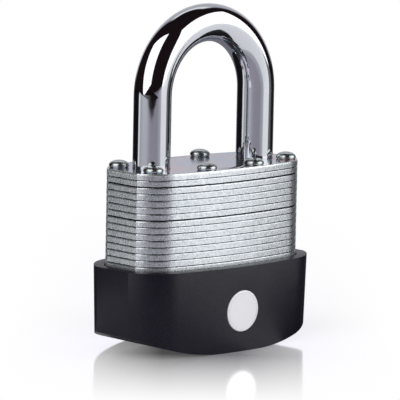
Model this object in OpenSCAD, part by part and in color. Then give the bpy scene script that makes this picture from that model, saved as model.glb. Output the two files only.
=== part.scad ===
// Laminated padlock with a moulded bumper round its lower half.
// Millimetres. +X is to the right seen from the front, the front faces -Y, +Z is up.
// The origin is under the middle of the bumper, on the surface that the lock stands on.
// At rest the shackle is down and the plug is turned open, so the latches are drawn in.

/* [Laminated body] */
// Width of each plate
plate_w = 46; // [45:0.5:50]
// Depth of each plate, front to back
plate_d = 21.8; // [20:0.1:26]
// Thickness of each plate
plate_t = 1.4; // [1.3:0.05:1.6]
// Radius of the long front and back edges
front_r = 92; // [80:1:140]
// Radius of the rounded corners
corner_r = 9; // [7:0.1:10]
// Angle at the crease between each end flat and its corner arcs, in degrees
end_crease = 26; // [15:1:40]
// Number of guide plates under the top plate
guide_n = 3; // [2:1:5]
// Number of plates round the latches
latch_n = 2; // [2:1:3]
// Number of plates round the cam
cam_n = 2; // [2:1:3]
// Number of plates round the lock cylinder
cylinder_n = 14; // [13:1:18]

/* [Rivets] */
// Diameter of the rivet shanks
rivet_d = 3.4; // [3:0.1:3.6]
// Diameter of the rivet heads
rivet_head_d = 4.3; // [4:0.1:4.6]
// Height of the rivet heads
rivet_head_h = 1.55; // [1:0.05:1.8]
// Distance of the outer rivets from the plates' ends
rivet_end_inset = 3.8; // [3.2:0.1:4]
// Distance of the outer rivets from the middle of the plates' front and back edges
rivet_outer_inset = 5.55; // [5.3:0.05:5.8]
// Distance between the two inner rivets of a row
rivet_inner_span = 13.6; // [12:0.2:16]
// Distance of the inner rivets from the middle of the plates' front and back edges
rivet_inner_inset = 2.5; // [2.3:0.1:2.8]
// Radial play of a rivet in its holes
rivet_play = 0.08; // [0.04:0.02:0.15]

/* [Shackle] */
// Diameter of the shackle rod
rod_d = 8; // [7.2:0.1:8.2]
// Distance between the axes of the two legs
leg_spacing = 29.8; // [29:0.1:30.4]
// Length of straight leg above the top plate
leg_rise = 15.05; // [10:0.5:60]
// Radial play of the legs in their guide holes
leg_play = 0.08; // [0.04:0.01:0.1]
// Chamfer at the lower end of each leg
leg_chamfer = 0.8; // [0.4:0.1:1.2]
// Length of the full-width collar under the long leg's lower groove
collar_h = 3.6; // [2:0.1:4]
// How far the short leg rises clear of the top plate when the shackle is open
toe_rise = 1; // [0.5:0.1:2]
// Gap under the short leg when the shackle is down
toe_floor_gap = 0.2; // [0.1:0.05:0.4]

/* [Latches] */
// Width of a latch's nose
nose_w = 4.4; // [3.6:0.1:4.6]
// Travel of the latch that locks the short leg
toe_travel = 1.8; // [1.5:0.1:2]
// Travel of the latch that locks and retains the long leg
heel_travel = 1.2; // [1.1:0.05:1.3]
// Gap between the drawn-in short-leg latch and the leg
toe_rest_gap = 0.25; // [0.15:0.05:0.4]
// How far the drawn-in long-leg latch still reaches over the collar
heel_hold = 0.45; // [0.35:0.05:0.5]
// Gap between a latch's tip and the groove it reaches into
tip_gap = 0.15; // [0.1:0.05:0.2]
// Play of a latch in its cavity, above, below and beside it
latch_play = 0.2; // [0.1:0.05:0.3]
// Axial room on each side of a latch in a shackle groove
groove_room = 0.4; // [0.3:0.05:0.6]
// Depth of a latch arm, from the middle to its outer edge
arm_w = 4.2; // [3.8:0.1:4.4]
// Gap from the middle plane to each latch arm
arm_gap = 0.2; // [0.15:0.05:0.3]
// Length of a latch arm behind its slot
arm_back = 1.6; // [1.4:0.1:1.8]
// Distance from a latch's slot to the shoulder of its nose
shoulder_x = 6.2; // [6:0.1:6.6]

/* [Lock cylinder] */
// Diameter of the plug
plug_d = 9.4; // [9:0.1:9.6]
// Radial running clearance of the plug
plug_play = 0.05; // [0.02:0.01:0.08]
// Wall of the cylinder housing round the plug
housing_wall = 1.5; // [1.2:0.1:1.8]
// Reach of the pin chamber from the plug's surface
chamber_depth = 7.7; // [7.2:0.1:8.2]
// Width of the pin chamber
chamber_w = 5.2; // [4.6:0.1:5.6]
// Play of the housing in the plates
housing_play = 0.1; // [0.05:0.05:0.2]
// Width of the keyway
keyway_w = 1.8; // [1.4:0.1:2]
// Wall of the plug below the keyway
keyway_floor = 0.95; // [0.7:0.05:1.2]
// Wall of the plug above the keyway
keyway_roof = 1.2; // [0.9:0.05:1.5]
// Depth of the rib that wards the keyway
ward_depth = 0.6; // [0.4:0.1:0.8]
// Number of pin stacks
pin_n = 4; // [3:1:4]
// Distance between pin stacks
pin_pitch = 4; // [3.6:0.1:4.2]
// Diameter of the pins
pin_d = 2.6; // [2.4:0.1:2.8]
// Radial play of the pins
pin_play = 0.06; // [0.03:0.01:0.1]
// Gap between the driver pins and the plug
shear_gap = 0.1; // [0.05:0.01:0.15]
// Length of each driver pin
driver_len = 3.2; // [2.8:0.1:3.6]
// Thickness of the strip that closes the pin chambers
cover_t = 0.8; // [0.6:0.1:1]
// Turn of the plug from locked to open, in degrees
plug_turn = 60; // [50:1:70]

/* [Cam] */
// Diameter of the cam disc
cam_d = 6.8; // [6.4:0.1:7]
// Thickness of the cam disc
cam_t = 2; // [1.8:0.1:2.2]
// Radial room round the cam
cam_room = 0.6; // [0.3:0.1:0.8]
// Diameter of the two drive pins
drive_d = 1.4; // [1.2:0.1:1.5]
// Play of a drive pin in its latch slot
drive_play = 0.1; // [0.08:0.01:0.15]
// Diameter of the plug's tail
tail_d = 4.8; // [4.4:0.1:5]
// Width of the tail's flat tang
tang_w = 1.6; // [1.2:0.1:1.8]
// Length of that tang across the tail
tang_len = 3.2; // [2.8:0.1:3.6]
// How far the clip that holds the plug reaches past the plug's edge
clip_lip = 0.6; // [0.4:0.1:0.8]
// Thickness of that clip
clip_t = 0.8; // [0.6:0.1:0.9]
// Depth of the groove in the tail that the clip sits in
clip_groove = 0.5; // [0.3:0.05:0.7]
// Radial room round the clip
clip_room = 0.3; // [0.2:0.05:0.5]

/* [Springs] */
// Wire diameter of the shackle spring
shackle_wire = 0.9; // [0.7:0.05:1]
// How much narrower than the rod the shackle spring is, on each side
spring_play = 0.45; // [0.3:0.05:0.7]
// Wire diameter of the small springs
fine_wire = 0.3; // [0.2:0.05:0.35]
// Outer diameter of the small springs
fine_spring_d = 1.8; // [1.6:0.05:2]

/* [Bumper] */
// Height of the bumper
bumper_h = 18.2; // [14:0.2:26]
// Wall of the bumper at its rim
bumper_wall = 2.22; // [2:0.02:3]
// Gap between the bumper and the plates
bumper_gap = 0.2; // [0.1:0.05:0.3]
// Thickness of the bumper's floor in the middle
floor_t = 5.15; // [4.9:0.05:7]
// Draft of the bumper's sides, in degrees
draft_angle = 1.5; // [0.5:0.1:2]
// Width of the flat that the lock stands on
base_flat_w = 10; // [8:0.5:14]
// Radius of the underside on each side of that flat
rocker_r = 49; // [46:1:80]
// Margin round the plug in the opening that the key goes through
key_port_margin = 1.5; // [1.2:0.1:2]
// Diameter of the badge
badge_d = 8.8; // [6:0.1:10]
// Thickness of the badge
badge_t = 0.6; // [0.4:0.05:0.9]
// How far the badge stands out of the bumper
badge_proud = 0.1; // [0:0.02:0.2]
// Height of the badge's centre
badge_z = 8.7; // [8:0.1:10]
// Distance of the badge's centre from the middle plane
badge_x = 0; // [-2:0.1:2]

/* [Hidden] */
eps = 0.01;
round_fn = 64;
leg_x = leg_spacing / 2;
rod_r = rod_d / 2;
turn_step = plug_turn / 2;
rivet_outer_x = plate_w / 2 - rivet_end_inset;
rivet_outer_y = plate_d / 2 - rivet_outer_inset;
rivet_inner_x = rivet_inner_span / 2;
rivet_inner_y = plate_d / 2 - rivet_inner_inset;

// The stack of plates, numbered from the top plate down.
latch_first = 2 + guide_n;
cam_first = latch_first + latch_n;
clip_index = cam_first + cam_n;
cylinder_first = clip_index + 1;
base_index = cylinder_first + cylinder_n;
stack_top = floor_t + base_index * plate_t;
function plate_z(i) = stack_top - i * plate_t;

// Levels of the mechanism.
latch_z0 = plate_z(cam_first - 1) + latch_play;
latch_z1 = plate_z(latch_first - 1) - latch_play;
toe_end_z = plate_z(clip_index - 1) + toe_floor_gap;
lift = stack_top - toe_end_z + toe_rise;
stop_gap = 0.1;
open_groove_z0 = latch_z0 - lift - stop_gap;
heel_end_z = open_groove_z0 - collar_h;
cylinder_z0 = plate_z(base_index - 1) + housing_play;
cylinder_z1 = plate_z(clip_index) - housing_play;
cam_z0 = plate_z(clip_index - 1) + (cam_n * plate_t - cam_t) / 2;
cam_z1 = cam_z0 + cam_t;

// Tips of the latches, measured from the leg's axis, drawn in and thrown out.
toe_tip = rod_r + toe_rest_gap;
toe_notch = toe_tip - toe_travel - tip_gap;
heel_tip = rod_r - heel_hold;
neck_r = heel_tip - latch_play;
groove_r = heel_tip - heel_travel - tip_gap;

// Each drive pin swings evenly past the middle, so its latch moves by 2 r sin(turn / 2).
toe_drive_r = toe_travel / (2 * sin(turn_step));
heel_drive_r = heel_travel / (2 * sin(turn_step));
drive_angle = 90 + turn_step;
toe_slot_x = -toe_travel / 2;
heel_slot_x = heel_travel / 2;

// The cam's pockets for the drive pins, above, and for the tang, below, leave a web between them.
cam_web = 0.2;
cam_pocket = (cam_t - cam_web) / 2;
tang_play = 0.05;

// The lock cylinder. The pin chambers end a little past the plug's axis.
plug_r = plug_d / 2;
housing_r = plug_r + housing_wall;
chamber_reach = plug_r + chamber_depth;
clip_neck_d = tail_d - 2 * clip_groove;
clip_d = plug_d + 2 * clip_lip;
pin_floor = 0.5;
pin_hole_d = pin_d + 2 * pin_play;
driver_x0 = plug_r + shear_gap;
cover_x0 = chamber_reach - cover_t;

// Pitch of the springs, in wire diameters: pressed nearly solid, or with open turns.
closed_pitch = 1.3;
open_pitch = 2.2;

bumper_out = bumper_gap + bumper_wall;
draft_slope = tan(draft_angle);

// Plan of the body: end flats, corner arcs and long front and back arcs, all tangent.
front_cy = front_r - plate_d / 2;
corner_x = plate_w / 2 - corner_r * cos(end_crease);
corner_y = sqrt(pow(front_r - corner_r, 2) - corner_x * corner_x) - front_cy;
tangent_angle = atan2(corner_y + front_cy, corner_x);
corner_steps = 8;
front_steps = 14;

function arc(c, r, a0, a1, n) =
    [for (i = [0:n]) c + r * [cos(a0 + (a1 - a0) * i / n), sin(a0 + (a1 - a0) * i / n)]];

function corner_arc(t) =
    let (start = acos((plate_w / 2 + t - corner_x) / (corner_r + t)))
    arc([corner_x, corner_y], corner_r + t, start, tangent_angle, corner_steps);

function front_arc(t) =
    let (full = arc([0, -front_cy], front_r + t, tangent_angle, 180 - tangent_angle, front_steps))
    [for (i = [1:front_steps - 1]) full[i]];

function flipped(points, sx, sy) =
    [for (i = [len(points) - 1:-1:0]) [points[i].x * sx, points[i].y * sy]];

// The body's outline grown by t.
function outline(t) =
    let (half = concat(corner_arc(t), front_arc(t), flipped(corner_arc(t), -1, 1)))
    concat(half, flipped(half, 1, -1));

guide_names = [for (i = [1:guide_n]) str("guide_plate_", i)];
latch_names = [for (i = [1:latch_n]) str("latch_plate_", i)];
cam_names = [for (i = [1:cam_n]) str("cam_plate_", i)];
cylinder_names = [for (i = [1:cylinder_n]) str("cylinder_plate_", i)];

// ---- Shared shapes ----

module at_rivets() {
    for (sx = [-1, 1], sy = [-1, 1]) {
        translate([sx * rivet_outer_x, sy * rivet_outer_y, 0]) children();
        translate([sx * rivet_inner_x, sy * rivet_inner_y, 0]) children();
    }
}

module rivet_holes() {
    at_rivets() circle(r = rivet_d / 2 + rivet_play, $fn = round_fn);
}

module leg_hole(side) {
    translate([side * leg_x, 0]) circle(r = rod_r + leg_play, $fn = round_fn);
}

// One plate of the stack. Its children are the openings that it has besides the rivet holes.
module plate(i) {
    translate([0, 0, plate_z(i)])
        linear_extrude(plate_t)
            difference() {
                polygon(outline(0));
                rivet_holes();
                children();
            }
}

// A solid with the body's outline, grown by t0 at z0 and by t1 at z1.
module tapered_body(z0, z1, t0, t1) {
    low = outline(t0);
    high = outline(t1);
    n = len(low);
    points = concat([for (p = low) [p.x, p.y, z0]], [for (p = high) [p.x, p.y, z1]]);
    sides = [for (i = [0:n - 1]) [i, n + i, n + (i + 1) % n, (i + 1) % n]];
    polyhedron(points, concat([[for (i = [0:n - 1]) i]], [[for (i = [n - 1:-1:0]) n + i]], sides));
}

// A coil spring with its lower end at z = 0. d is its outer diameter, and pitch is the distance
// between its turns, in wire diameters, which is rounded up to whole turns.
module coil(d, wire, height, pitch) {
    side_n = 6;
    ring_n = 12;
    turns = max(1, floor((height - wire) / (wire * pitch)));
    steps = turns * ring_n;
    pitch_r = (d - wire) / 2;
    points = [for (i = [0:steps], k = [0:side_n - 1])
        let (a = 360 * i / ring_n)
        let (b = 360 * k / side_n)
        let (r = pitch_r + cos(b) * wire / 2)
        [r * cos(a), r * sin(a), wire / 2 + (height - wire) * i / steps + sin(b) * wire / 2]];
    walls = [for (i = [0:steps - 1], k = [0:side_n - 1])
        let (next = (k + 1) % side_n)
        [i * side_n + k, i * side_n + next, (i + 1) * side_n + next, (i + 1) * side_n + k]];
    first_cap = [for (k = [side_n - 1:-1:0]) k];
    last_cap = [for (k = [0:side_n - 1]) steps * side_n + k];
    polyhedron(points, concat([first_cap], walls, [last_cap]));
}

// ---- Laminated body ----

module leg_holes() {
    leg_hole(-1);
    leg_hole(1);
}

module latch_cavity() {
    pocket_x = shoulder_x - toe_slot_x + latch_play;
    pocket_w = 2 * (arm_w + latch_play);
    channel_w = nose_w + 2 * latch_play;
    square([2 * pocket_x, pocket_w], center = true);
    square([leg_spacing, channel_w], center = true);
}

module cylinder_cutout() {
    circle(r = housing_r + housing_play, $fn = round_fn);
    translate([0, -chamber_w / 2 - housing_play])
        square([chamber_reach + housing_play, chamber_w + 2 * housing_play]);
}

module top_plate() {
    color("#c9ced3") plate(1) leg_holes();
}

module guide_plate(i) {
    color("#b7bec6") plate(1 + i) leg_holes();
}

module latch_plate(i) {
    color("#aab2bb")
        plate(latch_first - 1 + i) {
            leg_holes();
            latch_cavity();
        }
}

module cam_plate(i) {
    color("#b7bec6")
        plate(cam_first - 1 + i) {
            leg_holes();
            circle(r = cam_d / 2 + cam_room, $fn = round_fn);
        }
}

module clip_plate() {
    color("#aab2bb")
        plate(clip_index) {
            leg_hole(-1);
            circle(r = clip_d / 2 + clip_room, $fn = round_fn);
        }
}

module cylinder_plate(i) {
    color("#b7bec6")
        plate(cylinder_first - 1 + i) {
            leg_hole(-1);
            cylinder_cutout();
        }
}

module base_plate() {
    color("#aab2bb") plate(base_index) circle(r = plug_d / 2 + plug_play, $fn = round_fn);
}

// Half section of a domed head that stands on z = 0, its widest ring a little above the plate.
module rivet_head_section() {
    waist = rivet_head_h * 0.3;
    r = rivet_head_d / 2;
    dome = [for (a = [-40:10:90]) [r * cos(a), waist + (rivet_head_h - waist) * max(sin(a), -1)]];
    raised = [for (p = dome) if (p.y > 0) p];
    polygon(concat([[0, 0], [rivet_d / 2, 0]], raised));
}

module rivet_head() {
    rotate_extrude($fn = round_fn) rivet_head_section();
}

module rivets() {
    color("#d5dbe0")
        at_rivets() {
            translate([0, 0, floor_t]) cylinder(d = rivet_d, h = stack_top - floor_t, $fn = round_fn);
            translate([0, 0, stack_top]) rivet_head();
            translate([0, 0, floor_t]) mirror([0, 0, 1]) rivet_head();
        }
}

// ---- Shackle ----

module heel_leg() {
    high_z0 = latch_z0 - groove_room;
    high_z1 = latch_z1 + groove_room;
    low_z1 = latch_z1 - lift + groove_room;
    section = [
        [0, stack_top + leg_rise], [rod_r, stack_top + leg_rise],
        [rod_r, high_z1], [groove_r, high_z1], [groove_r, high_z0], [neck_r, high_z0],
        [neck_r, low_z1], [groove_r, low_z1], [groove_r, open_groove_z0], [rod_r, open_groove_z0],
        [rod_r, heel_end_z + leg_chamfer], [rod_r - leg_chamfer, heel_end_z], [0, heel_end_z]
    ];
    translate([-leg_x, 0, 0]) rotate_extrude($fn = round_fn) polygon(section);
}

module toe_leg() {
    section = [
        [0, stack_top + leg_rise], [rod_r, stack_top + leg_rise],
        [rod_r, toe_end_z + leg_chamfer], [rod_r - leg_chamfer, toe_end_z], [0, toe_end_z]
    ];
    notch_h = latch_z1 - latch_z0 + 2 * groove_room;
    translate([leg_x, 0, 0])
        difference() {
            rotate_extrude($fn = round_fn) polygon(section);
            translate([-toe_notch - rod_d, -rod_d, latch_z0 - groove_room])
                cube([rod_d, 2 * rod_d, notch_h]);
        }
}

module shackle() {
    color("#dfe3e8") {
        translate([0, 0, stack_top + leg_rise])
            rotate([90, 0, 0])
                rotate_extrude(angle = 180, $fn = 96)
                    translate([leg_x, 0]) circle(r = rod_r, $fn = round_fn);
        heel_leg();
        toe_leg();
        // A core inside the rod joins each leg to the arch.
        for (side = [-1, 1])
            translate([side * leg_x, 0, stack_top + leg_rise])
                cylinder(r = rod_r / 2, h = rod_r, center = true, $fn = round_fn);
    }
}

// ---- Latches and cam ----

// A latch that points to +X, with the centre of its slot at x = 0. swing is the drive pin's radius.
module latch(tip_x, swing) {
    slot_w = drive_d + 2 * drive_play;
    slot_end = swing + slot_w / 2;
    ramp = (latch_z1 - latch_z0) / 4;
    color("#a9a48f")
        difference() {
            translate([0, 0, latch_z0])
                linear_extrude(latch_z1 - latch_z0)
                    difference() {
                        union() {
                            translate([-arm_back, arm_gap])
                                square([arm_back + shoulder_x, arm_w - arm_gap]);
                            translate([shoulder_x - eps, -nose_w / 2])
                                square([tip_x - shoulder_x + eps, nose_w]);
                        }
                        translate([-slot_w / 2, 0]) square([slot_w, slot_end]);
                    }
            translate([tip_x, 0, latch_z1])
                rotate([0, 45, 0]) cube([ramp, 2 * nose_w, ramp], center = true);
        }
}

module toe_latch() {
    translate([toe_slot_x, 0, 0]) latch(leg_x - toe_tip - toe_slot_x, toe_drive_r);
}

module heel_latch() {
    translate([heel_slot_x, 0, 0])
        rotate([0, 0, 180]) latch(leg_x - heel_tip + heel_slot_x, heel_drive_r);
}

module at_drive_pins() {
    rotate([0, 0, drive_angle]) {
        translate([toe_drive_r, 0, 0]) children();
        translate([-heel_drive_r, 0, 0]) children();
    }
}

module drive_pins() {
    color("#8f959c")
        at_drive_pins()
            translate([0, 0, cam_z1 - cam_pocket])
                cylinder(d = drive_d, h = latch_z1 - cam_z1 + cam_pocket, $fn = 32);
}

module cam_disc() {
    color("#c7a04a")
        difference() {
            translate([0, 0, cam_z0]) cylinder(d = cam_d, h = cam_t, $fn = round_fn);
            at_drive_pins()
                translate([0, 0, cam_z1 - cam_pocket])
                    cylinder(d = drive_d + tang_play / 2, h = cam_pocket + 1, $fn = 32);
            rotate([0, 0, drive_angle])
                translate([0, 0, cam_z0])
                    cube([tang_w + 2 * tang_play, tang_len + 2 * tang_play, 2 * cam_pocket], center = true);
        }
}

// ---- Lock cylinder ----

// Places its children at each pin stack, with +Z along the pins' axis away from the plug.
module at_pin_stacks() {
    span = (pin_n - 1) * pin_pitch;
    middle = (cylinder_z0 + cylinder_z1) / 2;
    for (i = [0:pin_n - 1])
        translate([0, 0, middle - span / 2 + i * pin_pitch])
            rotate([0, 90, 0]) children();
}

module cylinder_housing() {
    h = cylinder_z1 - cylinder_z0;
    color("#c9a552")
        difference() {
            union() {
                translate([0, 0, cylinder_z0]) cylinder(r = housing_r, h = h, $fn = round_fn);
                translate([0, -chamber_w / 2, cylinder_z0]) cube([cover_x0, chamber_w, h]);
            }
            translate([0, 0, cylinder_z0 - 1])
                cylinder(r = plug_r + plug_play, h = h + 2, $fn = round_fn);
            at_pin_stacks() cylinder(d = pin_hole_d, h = chamber_reach, $fn = 32);
        }
}

module chamber_cover() {
    color("#b28d3d")
        translate([cover_x0, -chamber_w / 2, cylinder_z0])
            cube([cover_t, chamber_w, cylinder_z1 - cylinder_z0]);
}

module driver_pins() {
    color("#b9bfc6")
        at_pin_stacks()
            translate([0, 0, driver_x0]) cylinder(d = pin_d, h = driver_len, $fn = 32);
}

module pin_springs() {
    spring_z0 = driver_x0 + driver_len + stop_gap / 2;
    color("#9aa3ad")
        at_pin_stacks()
            translate([0, 0, spring_z0])
                coil(fine_spring_d, fine_wire, cover_x0 - stop_gap / 2 - spring_z0, open_pitch);
}

// The plug's own parts are drawn at the locked angle, where its pins meet the driver pins, and
// turned open by this.
module turned_open() {
    rotate([0, 0, plug_turn]) children();
}

module plug() {
    face_z = plate_z(base_index) + stop_gap;
    keyway_z1 = cylinder_z1 - plate_t;
    ring_z = cylinder_z1 + stop_gap;
    tang_z1 = cam_z0 + cam_pocket - stop_gap;
    keyway_low = keyway_floor - plug_r;
    keyway_h = plug_d - keyway_floor - keyway_roof;
    color("#d9b65c")
        turned_open()
            difference() {
                union() {
                    translate([0, 0, face_z])
                        cylinder(r = plug_r, h = cylinder_z1 - face_z, $fn = round_fn);
                    translate([0, 0, cylinder_z1 - eps])
                        cylinder(d = tail_d, h = cam_z0 - stop_gap - cylinder_z1 + eps, $fn = round_fn);
                    rotate([0, 0, drive_angle - plug_turn])
                        translate([-tang_w / 2, -tang_len / 2, cylinder_z1])
                            cube([tang_w, tang_len, tang_z1 - cylinder_z1]);
                }
                // Ring for the clip
                translate([0, 0, ring_z])
                    difference() {
                        cylinder(d = tail_d + 2, h = clip_t + stop_gap, $fn = round_fn);
                        translate([0, 0, -1]) cylinder(d = clip_neck_d, h = clip_t + 3, $fn = round_fn);
                    }
                // Keyway with a warding rib, and the pin chambers
                difference() {
                    translate([keyway_low, -keyway_w / 2, face_z - 1])
                        cube([keyway_h, keyway_w, keyway_z1 - face_z + 1]);
                    translate([keyway_low / 2, keyway_w / 2 - ward_depth, face_z - 2])
                        cube([keyway_w / 2, keyway_w, keyway_z1 - face_z + 3]);
                }
                at_pin_stacks()
                    translate([0, 0, pin_floor]) cylinder(d = pin_hole_d, h = plug_r, $fn = 32);
            }
}

module key_pins() {
    tip_h = pin_d / 4;
    top = sqrt(plug_r * plug_r - pin_d * pin_d / 4) - plug_play / 2;
    low = pin_floor + stop_gap;
    color("#e0c070")
        turned_open()
            at_pin_stacks()
                translate([0, 0, low]) {
                    cylinder(d1 = pin_d / 2, d2 = pin_d, h = tip_h, $fn = 32);
                    translate([0, 0, tip_h]) cylinder(d = pin_d, h = top - low - tip_h, $fn = 32);
                }
}

module plug_clip() {
    inner_d = clip_neck_d + 2 * tang_play;
    color("#7f868e")
        translate([0, 0, cylinder_z1 + stop_gap + stop_gap / 2])
            difference() {
                cylinder(d = clip_d, h = clip_t, $fn = round_fn);
                translate([0, 0, -1]) cylinder(d = inner_d, h = clip_t + 2, $fn = round_fn);
                rotate([0, 0, drive_angle])
                    translate([0, -inner_d / 3, -1]) cube([clip_d, inner_d * 2 / 3, clip_t + 2]);
            }
}

// ---- Springs ----

// Each spring pushes one latch's nose away from the back of the other latch's arm.
module latch_springs() {
    spring_x0 = heel_slot_x + arm_back + stop_gap / 2;
    spring_x1 = toe_slot_x + shoulder_x - stop_gap / 2;
    other_x0 = heel_slot_x - shoulder_x + stop_gap / 2;
    other_x1 = toe_slot_x - arm_back - stop_gap / 2;
    spring_y = nose_w / 2 - fine_spring_d / 2 - stop_gap;
    middle = (latch_z0 + latch_z1) / 2;
    color("#9aa3ad") {
        translate([spring_x0, -spring_y, middle])
            rotate([0, 90, 0]) coil(fine_spring_d, fine_wire, spring_x1 - spring_x0, open_pitch);
        translate([other_x0, spring_y, middle])
            rotate([0, 90, 0]) coil(fine_spring_d, fine_wire, other_x1 - other_x0, open_pitch);
    }
}

module shackle_spring() {
    z0 = plate_z(base_index - 1) + stop_gap;
    color("#9aa3ad")
        translate([-leg_x, 0, z0])
            coil(rod_d - 2 * spring_play, shackle_wire, heel_end_z - stop_gap - z0, closed_pitch);
}

// ---- Bumper and badge ----

// Front elevation of the bumper: flat in the middle of the underside, rising to both ends.
module rocker_section() {
    reach = plate_w / 2 + bumper_out + 1;
    flat = base_flat_w / 2;
    sweep = asin((reach - flat) / rocker_r);
    right = arc([flat, rocker_r], rocker_r, -90, -90 + sweep, 12);
    left = flipped(right, -1, 1);
    polygon(concat(right, [[reach, bumper_h], [-reach, bumper_h]], left));
}

// Places its children on the front face at the badge's centre, with +Z pointing out of the face.
module at_badge() {
    front_y = -sqrt(pow(front_r + bumper_out, 2) - badge_x * badge_x) + front_cy;
    translate([badge_x, front_y + draft_slope * (bumper_h - badge_z), badge_z])
        rotate([90 + draft_angle, 0, 0]) children();
}

module bumper() {
    pocket_r = rivet_head_d / 2 + 2 * bumper_gap;
    color("#2c2a33")
        difference() {
            intersection() {
                tapered_body(0, bumper_h, bumper_out - draft_slope * bumper_h, bumper_out);
                rotate([90, 0, 0])
                    linear_extrude(2 * plate_d, center = true) rocker_section();
            }
            translate([0, 0, floor_t]) linear_extrude(bumper_h) polygon(outline(bumper_gap));
            translate([0, 0, -1]) cylinder(r = plug_r + key_port_margin, h = floor_t + 2, $fn = round_fn);
            at_rivets()
                translate([0, 0, floor_t - rivet_head_h - bumper_gap])
                    cylinder(r = pocket_r, h = rivet_head_h + 1, $fn = round_fn);
            at_badge()
                translate([0, 0, badge_proud - badge_t - bumper_gap / 2])
                    cylinder(r = badge_d / 2 + bumper_gap / 2, h = badge_t + 1, $fn = round_fn);
        }
}

module badge() {
    color("#dcdce2")
        at_badge()
            translate([0, 0, badge_proud - badge_t]) cylinder(d = badge_d, h = badge_t, $fn = round_fn);
}

shackle();
top_plate();
for (i = [1:guide_n]) guide_plate(i);
for (i = [1:latch_n]) latch_plate(i);
for (i = [1:cam_n]) cam_plate(i);
clip_plate();
for (i = [1:cylinder_n]) cylinder_plate(i);
base_plate();
rivets();
bumper();
badge();
cylinder_housing();
plug();
key_pins();
driver_pins();
pin_springs();
chamber_cover();
plug_clip();
cam_disc();
drive_pins();
toe_latch();
heel_latch();
latch_springs();
shackle_spring();
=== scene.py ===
"""The looks of a laminated padlock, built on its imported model.

Sizes are in millimetres and meshes are built in them, except where the studio's classes say metres.
A piece is scaled to metres as it is finished, so its place is in its mesh.
The front faces -Y, +X is to the right seen from the front, and +Z is up.
"""

import logging
import math
from dataclasses import dataclass, field
from enum import Enum
from typing import Iterable, Sequence, Union

import bmesh
import bpy
from bmesh.types import BMEdge, BMesh, BMVert
from bpy.types import ID, Material, Mesh, Node, NodeSocket, NodeTree, Object, World
from mathutils import Matrix, Vector


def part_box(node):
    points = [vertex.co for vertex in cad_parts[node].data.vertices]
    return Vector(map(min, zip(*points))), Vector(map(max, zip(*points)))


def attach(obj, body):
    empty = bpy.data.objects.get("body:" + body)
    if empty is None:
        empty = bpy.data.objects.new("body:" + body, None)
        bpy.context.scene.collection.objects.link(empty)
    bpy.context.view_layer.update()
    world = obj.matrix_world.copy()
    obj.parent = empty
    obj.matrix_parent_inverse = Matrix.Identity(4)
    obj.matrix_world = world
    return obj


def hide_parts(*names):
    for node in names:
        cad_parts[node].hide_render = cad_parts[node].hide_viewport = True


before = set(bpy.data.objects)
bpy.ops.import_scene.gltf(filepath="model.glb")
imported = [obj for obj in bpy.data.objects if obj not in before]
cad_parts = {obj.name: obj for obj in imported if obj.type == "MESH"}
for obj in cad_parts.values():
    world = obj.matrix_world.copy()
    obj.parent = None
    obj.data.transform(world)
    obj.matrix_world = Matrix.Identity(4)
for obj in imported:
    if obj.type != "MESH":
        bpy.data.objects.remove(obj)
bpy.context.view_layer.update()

MM = 0.001
WHITE = (1.0, 1.0, 1.0, 1.0)
# How far a cutting tool reaches past what it cuts, in millimetres
SPARE = 1.0
log = logging.getLogger("padlock")


class Body(Enum):
    """The CAD bodies that a piece can ride on."""

    CASE = "case"
    SHACKLE = "shackle"
    PLUG = "plug"


class Axis(Enum):
    """The two planes that the body's outline is mirrored across."""

    LEFT_RIGHT = "X"
    FRONT_BACK = "Y"


# ---- Small helpers ----

Value = Union[NodeSocket, float, tuple[float, ...]]
Pair = tuple[float, float]
Stops = Sequence[tuple[float, str]]
Outputs = dict[str, NodeSocket]


def linear(code: str) -> tuple[float, float, float, float]:
    """Turns an sRGB hex colour into linear red, green, blue and alpha.

    Args:
        code: The colour, such as "#c8ccd0".

    Returns:
        The four linear values, with alpha 1.
    """
    parts = [int(code[i : i + 2], 16) / 255 for i in (1, 3, 5)]
    red, green, blue = (p / 12.92 if p <= 0.04045 else ((p + 0.055) / 1.055) ** 2.4 for p in parts)
    return red, green, blue, 1.0


def per_mm(size: float) -> float:
    """Gives the texture scale at which one feature of a pattern is size millimetres across."""
    return 1.0 / (size * MM)


def add_node(
    tree: NodeTree, kind: str, inputs: dict | None = None, ramp: Stops = (), **settings: object
) -> Node:
    """Adds one node with its settings, its input values and its incoming links.

    Args:
        tree: The node tree that gets the node.
        kind: The node's Blender type without the ShaderNode that each begins with.
        inputs: Values or output sockets, by input name or number.
        ramp: Stops of a colour ramp, as position and sRGB hex colour.
        **settings: Properties of the node.

    Returns:
        The new node.
    """
    node = tree.nodes.new("ShaderNode" + kind)
    for key, value in settings.items():
        setattr(node, key, value)
    for key, value in (inputs or {}).items():
        if isinstance(value, NodeSocket):
            tree.links.new(value, node.inputs[key])
        else:
            node.inputs[key].default_value = value
    if ramp:
        stops = node.color_ramp.elements
        while len(stops) < len(ramp):
            stops.new(1.0)
        for stop, (place, code) in zip(stops, ramp):
            stop.position = place
            stop.color = linear(code)
    return node


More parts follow.
